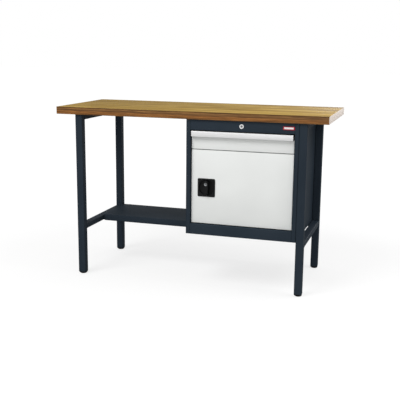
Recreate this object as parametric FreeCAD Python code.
import FreeCAD, Part
import math
import os

# Workbench with a beech multiplex top on a welded square-tube frame.  A steel cabinet with one
# drawer and one door hangs under the right half, and a half-depth steel shelf fills the left half.
# Millimetres.  +X runs along the bench to the right, +Y to the back, +Z up, the front faces -Y.
# The origin lies on the floor under the middle of the top.

# ---- overall -----------------------------------------------------------------------------
BENCH_W = 1500.0          # length of the top
BENCH_D = 600.0           # depth of the top
BENCH_H = 950.0           # floor to working surface
TOP_T = 40.0              # thickness of the multiplex top
TOP_ARRIS = 1.5           # broken edge of the top

# ---- frame -------------------------------------------------------------------------------
TUBE = 40.0               # side of the leg tube
TUBE_WALL = 2.0
TUBE_R = 3.0              # outer corner radius of every tube
END_OVERHANG = 108.0      # top past the leg's outer face, left and right
FRONT_OVERHANG = 10.0     # top past the leg's outer face, front and back
RAIL_H = 30.0             # height of the four side rails
LOW_RAIL_TOP = 290.0      # top face of the lower side rails and of the rear beam
BEAM_H = 40.0             # height of the rear beam
BEAM_D = 30.0             # depth of the rear beam
FOOT_SHOW = 12.0          # height of the plastic foot below the tube
FOOT_REST_D = 28.0        # flat circle that each domed foot stands on
FOOT_INSET = 0.8          # foot sits this far inside the tube's outer face
FOOT_PLUG = 22.0          # length of the plug inside the tube
FIT = 0.3                 # side clearance of plugs, caps and loose covers

# ---- shelf between the left frame and the cabinet ----------------------------------------
SHELF_T = 2.0
SHELF_DEPTH = 309.0       # front edge to the back of the rear beam
SHELF_LIP = 37.0          # height of the folded front edge
SHELF_RETURN = 12.0       # lower return of the front edge
SHELF_UNDER = 40.0        # length of the shelf under the cabinet
SHELF_SCREW_SHARES = (0.2, 0.5, 0.8)   # places of the end screws along the shelf's depth

# ---- cabinet -----------------------------------------------------------------------------
CAB_W = 598.0
CAB_GAP = 1.0             # cabinet side to the right legs, bridged by spacers
CAB_BACK_INSET = 30.0     # back panel ahead of the rear edge of the sides
SHEET = 1.2               # steel sheet of the cabinet, drawer and door
STILE_W = 22.0            # visible width of the side posts
STILE_DEPTH = 40.0
HEADER_H = 56.0
HEADER_LIP = 28.0         # lower return of the header
PLINTH_H = 56.0
FRONT_RECESS = 16.0       # drawer and door behind the front of the frame
FRONT_T = 20.0            # thickness of the drawer front and of the door
FRONT_GAP = 3.5           # joint between the fronts and the posts
DIVIDER_H = 18.0
DIVIDER_DEPTH = 39.0
DIVIDER_PLAY = 1.0        # divider behind the posts and below the drawer

# ---- drawer ------------------------------------------------------------------------------
DRAWER_FRONT_H = 91.0
DRAWER_SPLIT = 750.5      # middle of the joint between the drawer and the door
SPLIT_GAP = 4.0
TRAY_H = 70.0
TRAY_LENGTH = 506.0
TRAY_RISE = 8.0           # tray floor above the lower edge of the front
FRONT_LIP = 18.0          # lip round the open back of drawer front and door
SCREW_PLAY = 0.6          # screw head above the tray floor
CATCH_W = 34.0            # angle behind the drawer front that the lock's cam holds
CATCH_REACH = 14.0
CATCH_DROP = 3.0          # underside of the catch below the top of the drawer front
CATCH_T = 2.0
GRIP_H = 28.0             # height of the grip strip
GRIP_UP = 5.0             # top of the grip strip above the drawer front
GRIP_PROUD = 6.0          # grip strip ahead of the front of the frame
GRIP_WALL = 1.6
GRIP_CAP = 3.0            # thickness of the black end caps
GRIP_SETBACK = 0.5        # grip strip ends inside the drawer front
GRIP_SLOPE = 3.0          # slanted upper edge and lower lip of the grip strip

# ---- runners -----------------------------------------------------------------------------
RUNNER_L = 500.0
RUNNER_H = 45.0
RUNNER_W = 12.7
RUNNER_T = 1.2
RUNNER_PLAY = 0.5         # between one member and the next
BRACKET_H = 40.0
POST_PLAY = 1.0           # runner inside the post

# ---- shelf inside the cabinet --------------------------------------------------------------
INSIDE_EDGE = 20.0        # height of its folded edges
INSIDE_SET_BACK = 20.0    # front edge behind the posts
INSIDE_PLAY = 2.0         # shelf to each side of the cabinet
CLIP = 10.0               # side of the angled clips that carry it

# ---- locks and handle ---------------------------------------------------------------------
LOCK_D = 23.0             # rosette in the header
LOCK_BARREL_D = 19.0
LOCK_CORE_D = 13.0
LOCK_PROUD = 3.0
LOCK_ROUND = 1.2          # rounding of the rosette's rim
CAM_L = 46.0
CAM_W = 16.0
CAM_T = 2.5
CAM_R = 6.4
CAM_PLAY = 1.0            # cam ahead of the posts' rear edges
CAM_HOLD = 12.0           # height of the catch past the cam's tip
TURN_FIT = 0.05           # radial clearance of turning pieces
PLATE_W = 96.0            # black plate of the door handle
PLATE_H = 98.0
PLATE_T = 3.0
PLATE_R = 6.0
HANDLE_X = 109.0          # handle axis from the left side of the cabinet
HANDLE_Z = 547.5          # height of the handle axis
BOWL_D = 84.0
BOWL_DEPTH = 15.5
BOSS_WALL = 2.0           # wall and floor of the bowl
GRIP_BAR_W = 26.0
GRIP_BAR_H = 76.0
GRIP_BAR_R = 11.7         # corner radius of the rotary grip
SPINDLE_D = 12.0
TONGUE_W = 22.0
TONGUE_T = 3.0
TONGUE_R = 5.5
TONGUE_BITE = 12.5        # tongue behind the post when locked
TONGUE_PLAY = 1.5         # tongue behind the posts' rear edges
KEY_CORE_D = 17.0
KEY_CORE_UP = 19.5        # key core above the handle axis
KEY_CORE_L = 21.4
KEYWAY_W = 0.14           # keyway as shares of the core's diameter
KEYWAY_H = 0.6
KEYWAY_DEPTH = 0.5
BADGE_W = 60.0
BADGE_H = 17.0
BADGE_T = 1.5
BADGE_INSET = 23.0        # badge from the cabinet's right side
BADGE_UP = 1.5            # middle of the badge above the lock

# ---- hinges ------------------------------------------------------------------------------
HINGE_EDGE = 6.5          # hinge axis from the door's edge and from its front
HINGE_PIN_D = 5.0
KNUCKLE_D = 9.0
KNUCKLE_H = 30.0
LUG_H = 10.0
HINGE_STRAP_T = 2.5
HINGE_INSET = 50.0        # hinge centre from the door's upper and lower edge
NOTCH_PLAY = 3.0          # notch in the door round the knuckles
STRAP_REACH = 21.5        # hinge axis to the strap's bend
STRAP_FLANGE = 30.0
LEAF_PLATE_T = 2.0
LEAF_PLATE_W = 24.0

# ---- fasteners ---------------------------------------------------------------------------
SCREW_D = 6.0
SCREW_HEAD_D = 13.0
SCREW_HEAD_H = 4.0
SCREW_GRIP = 10.0         # thread past the sheet
HEAD_ROUND = 0.45         # rounding and hexagon socket of a head, as shares of its height and width
SOCKET_D = 0.42
SOCKET_DEPTH = 0.55
TOP_SCREW_BITE = 28.0     # screws from the rails into the top
ROOF_SCREW_L = 24.0       # screws from the cabinet's roof into the top
TOP_SCREW_INSET = 70.0    # screw from the leg along the rail
ROOF_SCREW_INSET = 99.5   # screw from the cabinet's side
SPACER_D = 18.0
BOLT_D = 8.0
SMALL_SCREW_D = 4.0
SMALL_HEAD_D = 8.0
SMALL_HEAD_H = 2.4

# ---- derived places ----------------------------------------------------------------------
X_RIGHT = BENCH_W / 2
X_LEFT = -X_RIGHT
Y_BACK = BENCH_D / 2
Y_FRONT = -Y_BACK
TOP_UNDER = BENCH_H - TOP_T
LEG_L = X_LEFT + END_OVERHANG              # outer face of the left legs
LEG_R = X_RIGHT - END_OVERHANG
LEG_F = Y_FRONT + FRONT_OVERHANG           # outer face of the front legs
LEG_B = Y_BACK - FRONT_OVERHANG
CAB_R = LEG_R - TUBE - CAB_GAP
CAB_L = CAB_R - CAB_W
CAB_MID = (CAB_L + CAB_R) / 2
CAB_F = LEG_F                              # cabinet front flush with the legs
CAB_BACK = LEG_B                           # and its sides end flush with the rear legs
CAB_BOTTOM = LOW_RAIL_TOP + SHELF_T
BACK_PANEL = CAB_BACK - CAB_BACK_INSET
INNER_L = CAB_L + SHEET
INNER_R = CAB_R - SHEET
DOORWAY_L = CAB_L + STILE_W
DOORWAY_R = CAB_R - STILE_W
POST_BACK = CAB_F + STILE_DEPTH
FRONT_Y = CAB_F + FRONT_RECESS             # front face of drawer and door
FRONT_BACK = FRONT_Y + FRONT_T
FLOOR_TOP = CAB_BOTTOM + PLINTH_H
HEADER_BOTTOM = TOP_UNDER - HEADER_H
DRAWER_Z0 = DRAWER_SPLIT + SPLIT_GAP / 2
DRAWER_Z1 = DRAWER_Z0 + DRAWER_FRONT_H
DOOR_Z1 = DRAWER_SPLIT - SPLIT_GAP / 2
DOOR_Z0 = FLOOR_TOP + SPLIT_GAP
LEAF_L = DOORWAY_L + FRONT_GAP             # left and right edges of drawer front and door
LEAF_R = DOORWAY_R - FRONT_GAP
TRAY_Z0 = DRAWER_Z0 + TRAY_RISE
RUNNER_Z = TRAY_Z0 + TRAY_H / 2
RUNNER_X0 = DOORWAY_L + POST_PLAY
RUNNER_Y0 = POST_BACK + POST_PLAY
TRAY_L = RUNNER_X0 + RUNNER_W              # outer face of the tray's left side
TRAY_R = 2 * CAB_MID - TRAY_L
LOCK_Z = TOP_UNDER - HEADER_H / 2
CAM_Y = POST_BACK - CAM_PLAY
RAIL_X = {"left": (LEG_L, LEG_L + TUBE), "right": (LEG_R - TUBE, LEG_R)}
LEG_Y = {"front": (LEG_F, LEG_F + TUBE), "rear": (LEG_B - TUBE, LEG_B)}
BEAM_L = LEG_L + TUBE
BEAM_R = LEG_R - TUBE
SHELF_F = LEG_B - SHELF_DEPTH
SHELF_R = CAB_L + SHELF_UNDER
UP = (0, 0, 1)
DOWN = (0, 0, -1)
TO_LEFT = (-1, 0, 0)
TO_RIGHT = (1, 0, 0)
TO_BACK = (0, 1, 0)
TO_FRONT = (0, -1, 0)


# ---- small building helpers --------------------------------------------------------------
def box(x0, x1, y0, y1, z0, z1):
    return Part.makeBox(x1 - x0, y1 - y0, z1 - z0, FreeCAD.Vector(x0, y0, z0))


def rod(start, axis, diameter, length):
    return Part.makeCylinder(diameter / 2, length, FreeCAD.Vector(*start), FreeCAD.Vector(*axis))


def join(shapes):
    whole = shapes[0]
    for shape in shapes[1:]:
        whole = whole.fuse(shape)
    return whole.removeSplitter()


def edges_along(shape, axis):
    """Straight edges of a shape that run along one axis, 0, 1 or 2."""
    found = []
    for edge in shape.Edges:
        if len(edge.Vertexes) != 2:
            continue
        run = edge.Vertexes[1].Point - edge.Vertexes[0].Point
        others = [abs(run[i]) for i in range(3) if i != axis]
        if max(others) < 1e-6 and abs(run[axis]) > 1e-6:
            found.append(edge)
    return found


def tube(x0, x1, y0, y1, z0, z1, axis):
    """Rectangular tube between two corners, open at both ends along the axis."""
    outer = box(x0, x1, y0, y1, z0, z1)
    outer = outer.makeFillet(TUBE_R, edges_along(outer, axis))
    low = [x0 + TUBE_WALL, y0 + TUBE_WALL, z0 + TUBE_WALL]
    high = [x1 - TUBE_WALL, y1 - TUBE_WALL, z1 - TUBE_WALL]
    low[axis] -= 2 * TUBE_WALL
    high[axis] += 2 * TUBE_WALL
    return outer.cut(box(low[0], high[0], low[1], high[1], low[2], high[2]))


def folded(points, thickness, axis, start, end):
    """Sheet folded along a line of points, thickness to the left of the line, extruded on axis.

    The points lie in the plane of the two other axes, taken in X, Y, Z order.
    """
    count = len(points)
    inner = []
    for i in range(count):
        before = points[i - 1] if i > 0 else None
        after = points[i + 1] if i < count - 1 else None
        normals = []
        for a, b in ((before, points[i]), (points[i], after)):
            if a is None or b is None:
                continue
            dx, dy = b[0] - a[0], b[1] - a[1]
            size = math.hypot(dx, dy)
            normals.append((-dy / size, dx / size))
        nx = sum(n[0] for n in normals)
        ny = sum(n[1] for n in normals)
        scale = thickness * len(normals) / (nx * nx + ny * ny)
        if len(normals) == 1:
            scale = thickness
        inner.append((points[i][0] + nx * scale, points[i][1] + ny * scale))
    outline = list(points) + inner[::-1]
    plane = [i for i in range(3) if i != axis]
    corners = []
    for u, v in outline + outline[:1]:
        place = [0.0, 0.0, 0.0]
        place[plane[0]] = u
        place[plane[1]] = v
        place[axis] = start
        corners.append(FreeCAD.Vector(*place))
    run = [0.0, 0.0, 0.0]
    run[axis] = end - start
    return Part.Face(Part.makePolygon(corners)).extrude(FreeCAD.Vector(*run))


def mirrored(shape):
    """The same piece on the other side of the cabinet."""
    return shape.mirror(FreeCAD.Vector(CAB_MID, 0, 0), FreeCAD.Vector(1, 0, 0))


def screw(seat, axis, diameter, length, head_d, head_h):
    """Button-head screw: seat is where the head's underside lies, axis the way the shank goes."""
    back = [seat[i] - axis[i] * head_h for i in range(3)]
    head = rod(back, axis, head_d, head_h)
    rim = [edge for edge in head.Edges if len(edge.Vertexes) == 1]
    far = min(rim, key=lambda e: sum(e.CenterOfMass[i] * axis[i] for i in range(3)))
    head = head.makeFillet(head_h * HEAD_ROUND, [far])
    socket = rod(back, axis, head_d * SOCKET_D, head_h * SOCKET_DEPTH)
    return head.cut(socket).fuse(rod(seat, axis, diameter, length)).removeSplitter()


def drilled(shape, seats, axis, diameter, length):
    for seat in seats:
        shape = shape.cut(rod(seat, axis, diameter, length))
    return shape


parts = {}

# ---- worktop -----------------------------------------------------------------------------
top = box(X_LEFT, X_RIGHT, Y_FRONT, Y_BACK, TOP_UNDER, BENCH_H)
top = top.makeChamfer(TOP_ARRIS, edges_along(top, 0) + edges_along(top, 1))
top_seats = []
for side in ("left", "right"):
    middle_x = sum(RAIL_X[side]) / 2
    for y in (LEG_F + TUBE + TOP_SCREW_INSET, 0.0, LEG_B - TUBE - TOP_SCREW_INSET):
        top_seats.append((middle_x, y, TOP_UNDER - RAIL_H))
top_screw_l = RAIL_H + TOP_SCREW_BITE
roof_seats = []
for x in (CAB_L + ROOF_SCREW_INSET, CAB_R - ROOF_SCREW_INSET):
    for y in (POST_BACK + TOP_SCREW_INSET, BACK_PANEL - TOP_SCREW_INSET):
        roof_seats.append((x, y, TOP_UNDER - SHEET))
top = drilled(top, top_seats, UP, SCREW_D, top_screw_l)
top = drilled(top, roof_seats, UP, SCREW_D, ROOF_SCREW_L)
parts["worktop"] = top
parts["worktop_screws"] = Part.makeCompound(
    [screw(seat, UP, SCREW_D, top_screw_l, SCREW_HEAD_D, SCREW_HEAD_H) for seat in top_seats])
parts["cabinet_roof_screws"] = Part.makeCompound(
    [screw(seat, UP, SCREW_D, ROOF_SCREW_L, SCREW_HEAD_D, SCREW_HEAD_H) for seat in roof_seats])

# ---- frame: legs, rails, rear beam and feet ----------------------------------------------
corner_r = math.hypot(TUBE / 2 - FOOT_INSET, TUBE / 2 - FOOT_INSET)
rest_r = FOOT_REST_D / 2
dome_z = (corner_r ** 2 + FOOT_SHOW ** 2 - rest_r ** 2) / (2 * FOOT_SHOW)
dome_r = math.hypot(rest_r, dome_z)        # from the resting circle up to the tube's corners
feet = []
for row, (y0, y1) in LEG_Y.items():
    for side, (x0, x1) in RAIL_X.items():
        parts["leg_%s_%s" % (row, side)] = tube(x0, x1, y0, y1, FOOT_SHOW, TOP_UNDER, 2)
        plug_x = (x0 + TUBE_WALL + FIT, x1 - TUBE_WALL - FIT)
        plug_y = (y0 + TUBE_WALL + FIT, y1 - TUBE_WALL - FIT)
        pad = box(x0 + FOOT_INSET, x1 - FOOT_INSET, y0 + FOOT_INSET, y1 - FOOT_INSET, 0, FOOT_SHOW)
        pad = pad.makeFillet(TUBE_R, edges_along(pad, 2))
        dome = Part.makeSphere(dome_r, FreeCAD.Vector((x0 + x1) / 2, (y0 + y1) / 2, dome_z))
        pad = pad.common(dome)
        plug = box(plug_x[0], plug_x[1], plug_y[0], plug_y[1], FOOT_SHOW, FOOT_SHOW + FOOT_PLUG)
        feet.append(join([pad, plug]))
parts["feet"] = Part.makeCompound(feet)

for side, (x0, x1) in RAIL_X.items():
    span = (LEG_F + TUBE, LEG_B - TUBE)
    upper = tube(x0, x1, span[0], span[1], TOP_UNDER - RAIL_H, TOP_UNDER, 1)
    upper = drilled(upper, top_seats, UP, SCREW_D, RAIL_H)
    parts["rail_upper_" + side] = upper
    lower = tube(x0, x1, span[0], span[1], LOW_RAIL_TOP - RAIL_H, LOW_RAIL_TOP, 1)
    parts["rail_lower_" + side] = lower

beam = tube(BEAM_L, BEAM_R, LEG_B - BEAM_D, LEG_B, LOW_RAIL_TOP - BEAM_H, LOW_RAIL_TOP, 0)

# ---- shelf -------------------------------------------------------------------------------
end_flange = RAIL_H - 2 * TUBE_R           # flange on the flat of the lower rail
front_fold = [(SHELF_F + SHELF_RETURN, CAB_BOTTOM - SHELF_LIP), (SHELF_F, CAB_BOTTOM - SHELF_LIP),
              (SHELF_F, CAB_BOTTOM), (LEG_B, CAB_BOTTOM)]
front_fold.reverse()
shelf = folded(front_fold, SHELF_T, 0, BEAM_L, SHELF_R)
keep_clear = box(CAB_L - FIT, SHELF_R + FIT, SHELF_F - FIT, SHELF_F + SHELF_RETURN + FIT,
                 CAB_BOTTOM - SHELF_LIP - FIT, LOW_RAIL_TOP)
shelf = shelf.cut(keep_clear)
flange = box(BEAM_L, BEAM_L + SHELF_T, SHELF_F + SHELF_RETURN, LEG_B - BEAM_D - FIT,
             LOW_RAIL_TOP - end_flange, LOW_RAIL_TOP)
shelf = join([shelf, flange])

rail_seats = []
for share in SHELF_SCREW_SHARES:
    y = SHELF_F + share * (LEG_B - BEAM_D - SHELF_F)
    rail_seats.append((BEAM_L + SHELF_T, y, LOW_RAIL_TOP - RAIL_H / 2))
beam_seats = [(x, LEG_B - BEAM_D / 2, CAB_BOTTOM) for x in (BEAM_L + TUBE, CAB_L - TUBE)]
under_seats = []
for y in (SHELF_F + TUBE, LEG_B - BEAM_D - 2 * TUBE):
    under_seats.append((CAB_L + SHELF_UNDER / 2, y, LOW_RAIL_TOP))
screw_runs = ((rail_seats, TO_LEFT, SHELF_T), (beam_seats, DOWN, SHELF_T), (under_seats, UP, SHELF_T))
shelf_screws = []
for seats, axis, sheet in screw_runs:
    shelf = drilled(shelf, seats, axis, SCREW_D, sheet)
    for seat in seats:
        shelf_screws.append(screw(seat, axis, SCREW_D, sheet + SCREW_GRIP, SCREW_HEAD_D, SCREW_HEAD_H))
parts["shelf"] = shelf
parts["shelf_screws"] = Part.makeCompound(shelf_screws)
parts["rail_lower_left"] = drilled(parts["rail_lower_left"], rail_seats, TO_LEFT, SCREW_D,
                                   SHELF_T + SCREW_GRIP)
parts["rear_beam"] = drilled(beam, beam_seats, DOWN, SCREW_D, SHELF_T + SCREW_GRIP)

# ---- cabinet body ------------------------------------------------------------------------
bolt_l = 2 * SHEET + CAB_GAP + TUBE_WALL + SCREW_GRIP
bolt_seats = {"front": [], "rear": []}
for row, (y0, y1) in LEG_Y.items():
    for z in (FLOOR_TOP + PLINTH_H, HEADER_BOTTOM - HEADER_H):
        bolt_seats[row].append((INNER_R - SHEET, (y0 + y1) / 2, z))
all_bolts = bolt_seats["front"] + bolt_seats["rear"]
side_left = box(CAB_L, INNER_L, CAB_F, CAB_BACK, CAB_BOTTOM, TOP_UNDER)
side_right = box(INNER_R, CAB_R, CAB_F, CAB_BACK, CAB_BOTTOM, TOP_UNDER)
parts["cabinet_side_left"] = side_left
parts["cabinet_side_right"] = drilled(side_right, all_bolts, TO_RIGHT, BOLT_D, 2 * SHEET)
post = folded([(INNER_L, POST_BACK), (INNER_L, CAB_F), (DOORWAY_L, CAB_F), (DOORWAY_L, POST_BACK)],
              SHEET, 2, CAB_BOTTOM, TOP_UNDER)
parts["cabinet_post_left"] = post
parts["cabinet_post_right"] = drilled(mirrored(post), bolt_seats["front"], TO_RIGHT, BOLT_D, SHEET)
for row, seats in bolt_seats.items():
    leg = parts["leg_%s_right" % row]
    parts["leg_%s_right" % row] = drilled(leg, seats, TO_RIGHT, BOLT_D, bolt_l)
back = folded([(INNER_L, CAB_BACK), (INNER_L, BACK_PANEL), (INNER_R, BACK_PANEL),
               (INNER_R, CAB_BACK)], SHEET, 2, CAB_BOTTOM, TOP_UNDER)
parts["cabinet_back"] = drilled(back, bolt_seats["rear"], TO_RIGHT, BOLT_D, SHEET)
header = folded([(POST_BACK, TOP_UNDER), (CAB_F, TOP_UNDER), (CAB_F, HEADER_BOTTOM),
                 (CAB_F + HEADER_LIP, HEADER_BOTTOM)], SHEET, 0, DOORWAY_L, DOORWAY_R)
header = header.cut(rod((CAB_MID, CAB_F, LOCK_Z), TO_BACK, LOCK_BARREL_D, SHEET))
parts["cabinet_header"] = header
roof = box(INNER_L, INNER_R, POST_BACK, BACK_PANEL, TOP_UNDER - SHEET, TOP_UNDER)
parts["cabinet_roof"] = drilled(roof, roof_seats, UP, SCREW_D, SHEET)

floor = join([
    box(INNER_L, INNER_R, POST_BACK, BACK_PANEL, FLOOR_TOP - SHEET, FLOOR_TOP),
    box(DOORWAY_L, DOORWAY_R, CAB_F, POST_BACK, FLOOR_TOP - SHEET, FLOOR_TOP),
    box(DOORWAY_L, DOORWAY_R, CAB_F, CAB_F + SHEET, CAB_BOTTOM, FLOOR_TOP),
    box(INNER_L, INNER_L + SHEET, POST_BACK, BACK_PANEL, CAB_BOTTOM, FLOOR_TOP),
    box(INNER_R - SHEET, INNER_R, POST_BACK, BACK_PANEL, CAB_BOTTOM, FLOOR_TOP),
    box(INNER_L, SHELF_R, POST_BACK, BACK_PANEL, CAB_BOTTOM, CAB_BOTTOM + SHEET),
    box(2 * CAB_MID - SHELF_R, INNER_R, POST_BACK, BACK_PANEL, CAB_BOTTOM, CAB_BOTTOM + SHEET)])
parts["cabinet_floor"] = drilled(floor, under_seats, UP, SCREW_D, SHELF_T + SCREW_GRIP)

divider_top = TRAY_Z0 - DIVIDER_PLAY * 2
divider_front = POST_BACK + DIVIDER_PLAY
parts["cabinet_divider"] = folded(
    [(divider_front + DIVIDER_DEPTH, divider_top), (divider_front, divider_top),
     (divider_front, divider_top - DIVIDER_H), (divider_front + DIVIDER_DEPTH, divider_top - DIVIDER_H)],
    SHEET, 0, INNER_L, INNER_R)

# spacers and bolts that tie the cabinet's right side to the right legs
spacers = []
for x, y, z in all_bolts:
    ring = rod((CAB_R, y, z), TO_RIGHT, SPACER_D, CAB_GAP)
    spacers.append(ring.cut(rod((CAB_R, y, z), TO_RIGHT, BOLT_D, CAB_GAP)))
parts["cabinet_spacers"] = Part.makeCompound(spacers)
parts["cabinet_bolts"] = Part.makeCompound(
    [screw(seat, TO_RIGHT, BOLT_D, bolt_l, SCREW_HEAD_D, SCREW_HEAD_H) for seat in all_bolts])

badge_r = CAB_R - BADGE_INSET
badge_z = LOCK_Z + BADGE_UP
parts["badge_plate"] = box(badge_r - BADGE_W, badge_r, CAB_F - BADGE_T, CAB_F,
                           badge_z - BADGE_H / 2, badge_z + BADGE_H / 2)

# ---- shelf inside the cabinet ------------------------------------------------------------
inside_z = (FLOOR_TOP + DRAWER_Z0) / 2
shelf_f = POST_BACK + INSIDE_SET_BACK
shelf_b = BACK_PANEL - FIT
parts["inside_shelf"] = folded(
    [(shelf_b, inside_z - INSIDE_EDGE), (shelf_b, inside_z),
     (shelf_f, inside_z), (shelf_f, inside_z - INSIDE_EDGE)],
    SHEET, 0, INNER_L + INSIDE_PLAY, INNER_R - INSIDE_PLAY)
clip_top = inside_z - SHEET
clips = []
for y in (shelf_f + TUBE, shelf_b - TUBE):
    clip = box(INNER_L, INNER_L + CLIP, y - CLIP / 2, y + CLIP / 2, clip_top - CLIP, clip_top)
    lower = [edge for edge in edges_along(clip, 1) if edge.CenterOfMass.z < clip_top - CLIP / 2
             and edge.CenterOfMass.x > INNER_L + CLIP / 2]
    clip = clip.makeChamfer(CLIP / 2, lower)
    clips += [clip, mirrored(clip)]
parts["inside_shelf_clips"] = Part.makeCompound(clips)

# ---- drawer runners ----------------------------------------------------------------------
bracket = folded([(INNER_L, RUNNER_Z - BRACKET_H / 2), (RUNNER_X0, RUNNER_Z - BRACKET_H / 2),
                  (RUNNER_X0, RUNNER_Z + BRACKET_H / 2), (INNER_L, RUNNER_Z + BRACKET_H / 2)],
                 SHEET, 1, RUNNER_Y0, RUNNER_Y0 + RUNNER_L)


def channel(x_web, x_open, height, wall):
    """Runner member: a web on one side and two flanges, extruded along Y."""
    low, high = RUNNER_Z - height / 2, RUNNER_Z + height / 2
    line = [(x_open, low), (x_web, low), (x_web, high), (x_open, high)]
    if x_web < x_open:
        line.reverse()
    return folded(line, wall, 1, RUNNER_Y0, RUNNER_Y0 + RUNNER_L)


step = RUNNER_T + RUNNER_PLAY
outer_run = channel(RUNNER_X0, RUNNER_X0 + RUNNER_W - 2 * step, RUNNER_H, RUNNER_T)
middle_run = channel(RUNNER_X0 + step, RUNNER_X0 + RUNNER_W - step, RUNNER_H - 2 * step, RUNNER_T)
inner_run = channel(TRAY_L, RUNNER_X0 + 2 * step, RUNNER_H - 4 * step, RUNNER_T)
for name, shape in (("runner_bracket", bracket), ("runner_outer", outer_run),
                    ("runner_middle", middle_run), ("runner_inner", inner_run)):
    parts[name + "_left"] = shape
    parts[name + "_right"] = mirrored(shape)

# ---- drawer ------------------------------------------------------------------------------
def pan(z0, z1, lip):
    """Front folded from one sheet: skin, four returns and a lip round the open back."""
    whole = box(LEAF_L, LEAF_R, FRONT_Y, FRONT_BACK, z0, z1)
    hollow = box(LEAF_L + SHEET, LEAF_R - SHEET, FRONT_Y + SHEET, FRONT_BACK - SHEET,
                 z0 + SHEET, z1 - SHEET)
    mouth = box(LEAF_L + lip, LEAF_R - lip, FRONT_BACK - SHEET, FRONT_BACK, z0 + lip, z1 - lip)
    return whole.cut(hollow).cut(mouth)


tray_back = FRONT_BACK + TRAY_LENGTH
tray_z1 = TRAY_Z0 + TRAY_H
front_screw_z = TRAY_Z0 + SHEET + SMALL_HEAD_D / 2 + SCREW_PLAY
drawer_front = pan(DRAWER_Z0, DRAWER_Z1, FRONT_LIP)
tray_front = box(TRAY_L, TRAY_R, FRONT_BACK, FRONT_BACK + SHEET, TRAY_Z0, tray_z1)
tray_side = box(TRAY_L, TRAY_L + SHEET, FRONT_BACK + SHEET, tray_back, TRAY_Z0, tray_z1)
parts["drawer_tray_front"] = tray_front
parts["drawer_side_left"] = tray_side
parts["drawer_side_right"] = mirrored(tray_side)
parts["drawer_rear"] = box(TRAY_L + SHEET, TRAY_R - SHEET, tray_back - SHEET, tray_back,
                           TRAY_Z0, tray_z1)
parts["drawer_floor"] = box(TRAY_L + SHEET, TRAY_R - SHEET, FRONT_BACK + SHEET, tray_back - SHEET,
                            TRAY_Z0, TRAY_Z0 + SHEET)
front_seats = []
for x in (TRAY_L + TUBE, TRAY_R - TUBE):
    front_seats.append((x, FRONT_BACK + SHEET, front_screw_z))

cam_tip = LOCK_Z - CAM_L
catch_y = CAM_Y + CAM_T + CATCH_REACH / 2
catch_low = DRAWER_Z1 - CATCH_DROP - FRONT_LIP / 2
catch = join([
    box(CAB_MID - CATCH_W / 2, CAB_MID + CATCH_W / 2, FRONT_BACK, catch_y, catch_low, catch_low + CATCH_T),
    box(CAB_MID - CATCH_W / 2, CAB_MID + CATCH_W / 2, catch_y - CATCH_T, catch_y,
        catch_low, cam_tip + CAM_HOLD),
    box(CAB_MID - CATCH_W / 2, CAB_MID + CATCH_W / 2, FRONT_BACK, FRONT_BACK + CATCH_T,
        catch_low, DRAWER_Z1)])
parts["drawer_catch"] = catch
for x in (CAB_MID - CATCH_W, CAB_MID + CATCH_W):
    front_seats.append((x, FRONT_BACK + SHEET, front_screw_z))
parts["drawer_front"] = drilled(drawer_front, front_seats, TO_FRONT, SMALL_SCREW_D, 2 * SHEET)
parts["drawer_tray_front"] = drilled(tray_front, front_seats, TO_FRONT, SMALL_SCREW_D, SHEET)
parts["drawer_screws"] = Part.makeCompound(
    [screw(seat, TO_FRONT, SMALL_SCREW_D, 2 * SHEET + SMALL_HEAD_H, SMALL_HEAD_D, SMALL_HEAD_H)
     for seat in front_seats])

# grip strip: closed along its top, open below for the fingers
grip_l = LEAF_L + GRIP_SETBACK + GRIP_CAP
grip_r = LEAF_R - GRIP_SETBACK - GRIP_CAP
grip_top = DRAWER_Z1 + GRIP_UP
grip_f = CAB_F - GRIP_PROUD
grip_line = [(FRONT_Y, grip_top - GRIP_H), (FRONT_Y, grip_top),
             (grip_f + GRIP_SLOPE, grip_top), (grip_f, grip_top - GRIP_SLOPE),
             (grip_f, grip_top - GRIP_H), (grip_f + GRIP_SLOPE, grip_top - GRIP_H)]
grip = folded(grip_line, GRIP_WALL, 0, grip_l, grip_r)
parts["drawer_grip"] = grip
cap_outline = [FreeCAD.Vector(grip_l, y, z) for y, z in grip_line[:5] + grip_line[:1]]
cap_face = Part.Face(Part.makePolygon(cap_outline))
caps = [cap_face.extrude(FreeCAD.Vector(-GRIP_CAP, 0, 0))]
caps.append(mirrored(caps[0]))
parts["drawer_grip_caps"] = Part.makeCompound(caps)

# ---- header lock -------------------------------------------------------------------------
lock_face = CAB_F - LOCK_PROUD
rosette = rod((CAB_MID, lock_face, LOCK_Z), TO_BACK, LOCK_D, LOCK_PROUD)
rim = [edge for edge in rosette.Edges if abs(edge.CenterOfMass.y - lock_face) < 1e-6]
rosette = rosette.makeFillet(LOCK_ROUND, rim)
barrel_end = CAB_F + HEADER_LIP
barrel = rod((CAB_MID, CAB_F, LOCK_Z), TO_BACK, LOCK_BARREL_D, barrel_end - CAB_F)
bore_d = LOCK_CORE_D + 2 * TURN_FIT
bore = rod((CAB_MID, lock_face, LOCK_Z), TO_BACK, bore_d, barrel_end - lock_face)
parts["header_lock_housing"] = join([rosette, barrel]).cut(bore)


def key_core(x, z, front, end, diameter):
    """Lock core with a keyway in its front face."""
    core = rod((x, front, z), TO_BACK, diameter, end - front)
    half_w = diameter * KEYWAY_W / 2
    half_h = diameter * KEYWAY_H / 2
    depth = diameter * KEYWAY_DEPTH
    return core.cut(box(x - half_w, x + half_w, front, front + depth, z - half_h, z + half_h))


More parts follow.
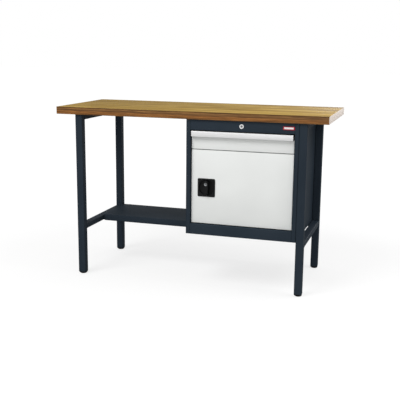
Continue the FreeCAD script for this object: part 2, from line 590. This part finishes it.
parts["header_lock_core"] = key_core(CAB_MID, LOCK_Z, lock_face, CAM_Y, LOCK_CORE_D)
cam = box(CAB_MID - CAM_W / 2, CAB_MID + CAM_L, CAM_Y, CAM_Y + CAM_T,
          LOCK_Z - CAM_W / 2, LOCK_Z + CAM_W / 2)
parts["header_lock_cam"] = cam.makeFillet(CAM_R, edges_along(cam, 1))

# ---- door --------------------------------------------------------------------------------
handle_x = CAB_L + HANDLE_X
hinge_x = LEAF_R - HINGE_EDGE
hinge_y = FRONT_Y + HINGE_EDGE
HINGES = {"upper": DOOR_Z1 - HINGE_INSET, "lower": DOOR_Z0 + HINGE_INSET}
door = pan(DOOR_Z0, DOOR_Z1, FRONT_LIP)
for z in HINGES.values():
    half = KNUCKLE_H / 2 + NOTCH_PLAY
    door = door.cut(box(LEAF_R - FRONT_LIP - NOTCH_PLAY, LEAF_R, FRONT_Y + SHEET, FRONT_BACK,
                        z - half, z + half))

boss_d = BOWL_D + 2 * BOSS_WALL
plate_front = FRONT_Y - PLATE_T
bowl_floor = plate_front + BOWL_DEPTH
boss_back = bowl_floor + BOSS_WALL
door = door.cut(rod((handle_x, FRONT_Y, HANDLE_Z), TO_BACK, boss_d + 2 * FIT, SHEET))
parts["door_panel"] = door

plate = box(handle_x - PLATE_W / 2, handle_x + PLATE_W / 2, plate_front, FRONT_Y,
            HANDLE_Z - PLATE_H / 2, HANDLE_Z + PLATE_H / 2)
plate = plate.makeFillet(PLATE_R, edges_along(plate, 1))
housing = join([plate, rod((handle_x, FRONT_Y, HANDLE_Z), TO_BACK, boss_d, boss_back - FRONT_Y)])
housing = housing.cut(rod((handle_x, plate_front, HANDLE_Z), TO_BACK, BOWL_D, BOWL_DEPTH))
spindle_bore = SPINDLE_D + 2 * TURN_FIT
housing = housing.cut(rod((handle_x, bowl_floor, HANDLE_Z), TO_BACK, spindle_bore, BOSS_WALL))
parts["door_handle_housing"] = housing

# rotary grip with its spindle, the tongue behind the door and the key core in the grip
bar_back = bowl_floor - FIT
bar = box(handle_x - GRIP_BAR_W / 2, handle_x + GRIP_BAR_W / 2, CAB_F, bar_back,
          HANDLE_Z - GRIP_BAR_H / 2, HANDLE_Z + GRIP_BAR_H / 2)
bar = bar.makeFillet(GRIP_BAR_R, edges_along(bar, 1))
tongue_y = POST_BACK + TONGUE_PLAY
spindle = rod((handle_x, bar_back, HANDLE_Z), TO_BACK, SPINDLE_D, tongue_y - bar_back)
key_z = HANDLE_Z + KEY_CORE_UP
core_bore = rod((handle_x, CAB_F, key_z), TO_BACK, KEY_CORE_D + 2 * TURN_FIT, KEY_CORE_L)
parts["door_grip"] = join([bar, spindle]).cut(core_bore)
parts["door_lock_core"] = key_core(handle_x, key_z, CAB_F, CAB_F + KEY_CORE_L, KEY_CORE_D)
tongue_l = handle_x - DOORWAY_L + TONGUE_BITE
tongue = box(handle_x - TONGUE_W / 2, handle_x + TONGUE_W / 2, tongue_y, tongue_y + TONGUE_T,
             HANDLE_Z - tongue_l, HANDLE_Z + TONGUE_W / 2)
parts["door_tongue"] = tongue.makeFillet(TONGUE_R, edges_along(tongue, 1))

# hinges: a strap from the cabinet's side carries the middle knuckle, the door has two lugs
pins = []
for name, z in HINGES.items():
    z0, z1 = z - KNUCKLE_H / 2, z + KNUCKLE_H / 2
    bend_y = hinge_y + STRAP_REACH
    half = HINGE_STRAP_T / 2
    strap = join([
        box(hinge_x - half, hinge_x + half, hinge_y, bend_y + HINGE_STRAP_T, z0, z1),
        box(hinge_x - half, INNER_R, bend_y, bend_y + HINGE_STRAP_T, z0, z1),
        box(INNER_R - HINGE_STRAP_T, INNER_R, bend_y, bend_y + STRAP_FLANGE, z0, z1),
        rod((hinge_x, hinge_y, z0), UP, KNUCKLE_D, KNUCKLE_H)])
    strap = strap.cut(rod((hinge_x, hinge_y, z0), UP, HINGE_PIN_D, KNUCKLE_H))
    parts["hinge_strap_" + name] = strap
    skin = FRONT_Y + SHEET
    leaf_r = hinge_x - KNUCKLE_D / 2 - NOTCH_PLAY
    pieces = [box(leaf_r - LEAF_PLATE_W, leaf_r, skin, skin + LEAF_PLATE_T,
                  z0 - FIT - LUG_H, z1 + FIT + LUG_H)]
    for low in (z0 - FIT - LUG_H, z1 + FIT):
        pieces.append(rod((hinge_x, hinge_y, low), UP, KNUCKLE_D, LUG_H))
        pieces.append(box(leaf_r - LEAF_PLATE_W / 2, hinge_x, skin + LEAF_PLATE_T / 2,
                          skin + LEAF_PLATE_T * 2, low, low + LUG_H))
    leaf = join(pieces)
    pin_l = KNUCKLE_H + 2 * (FIT + LUG_H)
    pin_z = z0 - FIT - LUG_H
    leaf = leaf.cut(rod((hinge_x, hinge_y, pin_z), UP, HINGE_PIN_D + 2 * TURN_FIT, pin_l))
    parts["hinge_leaf_" + name] = leaf
    pins.append(rod((hinge_x, hinge_y, pin_z), UP, HINGE_PIN_D, pin_l))
parts["hinge_pins"] = Part.makeCompound(pins)

os.makedirs("parts", exist_ok=True)
for name, shape in sorted(parts.items()):
    if not shape.isValid():
        raise RuntimeError("%s is not a valid solid" % name)
    shape.exportStep("parts/%s.step" % name)
print(len(parts), "parts")
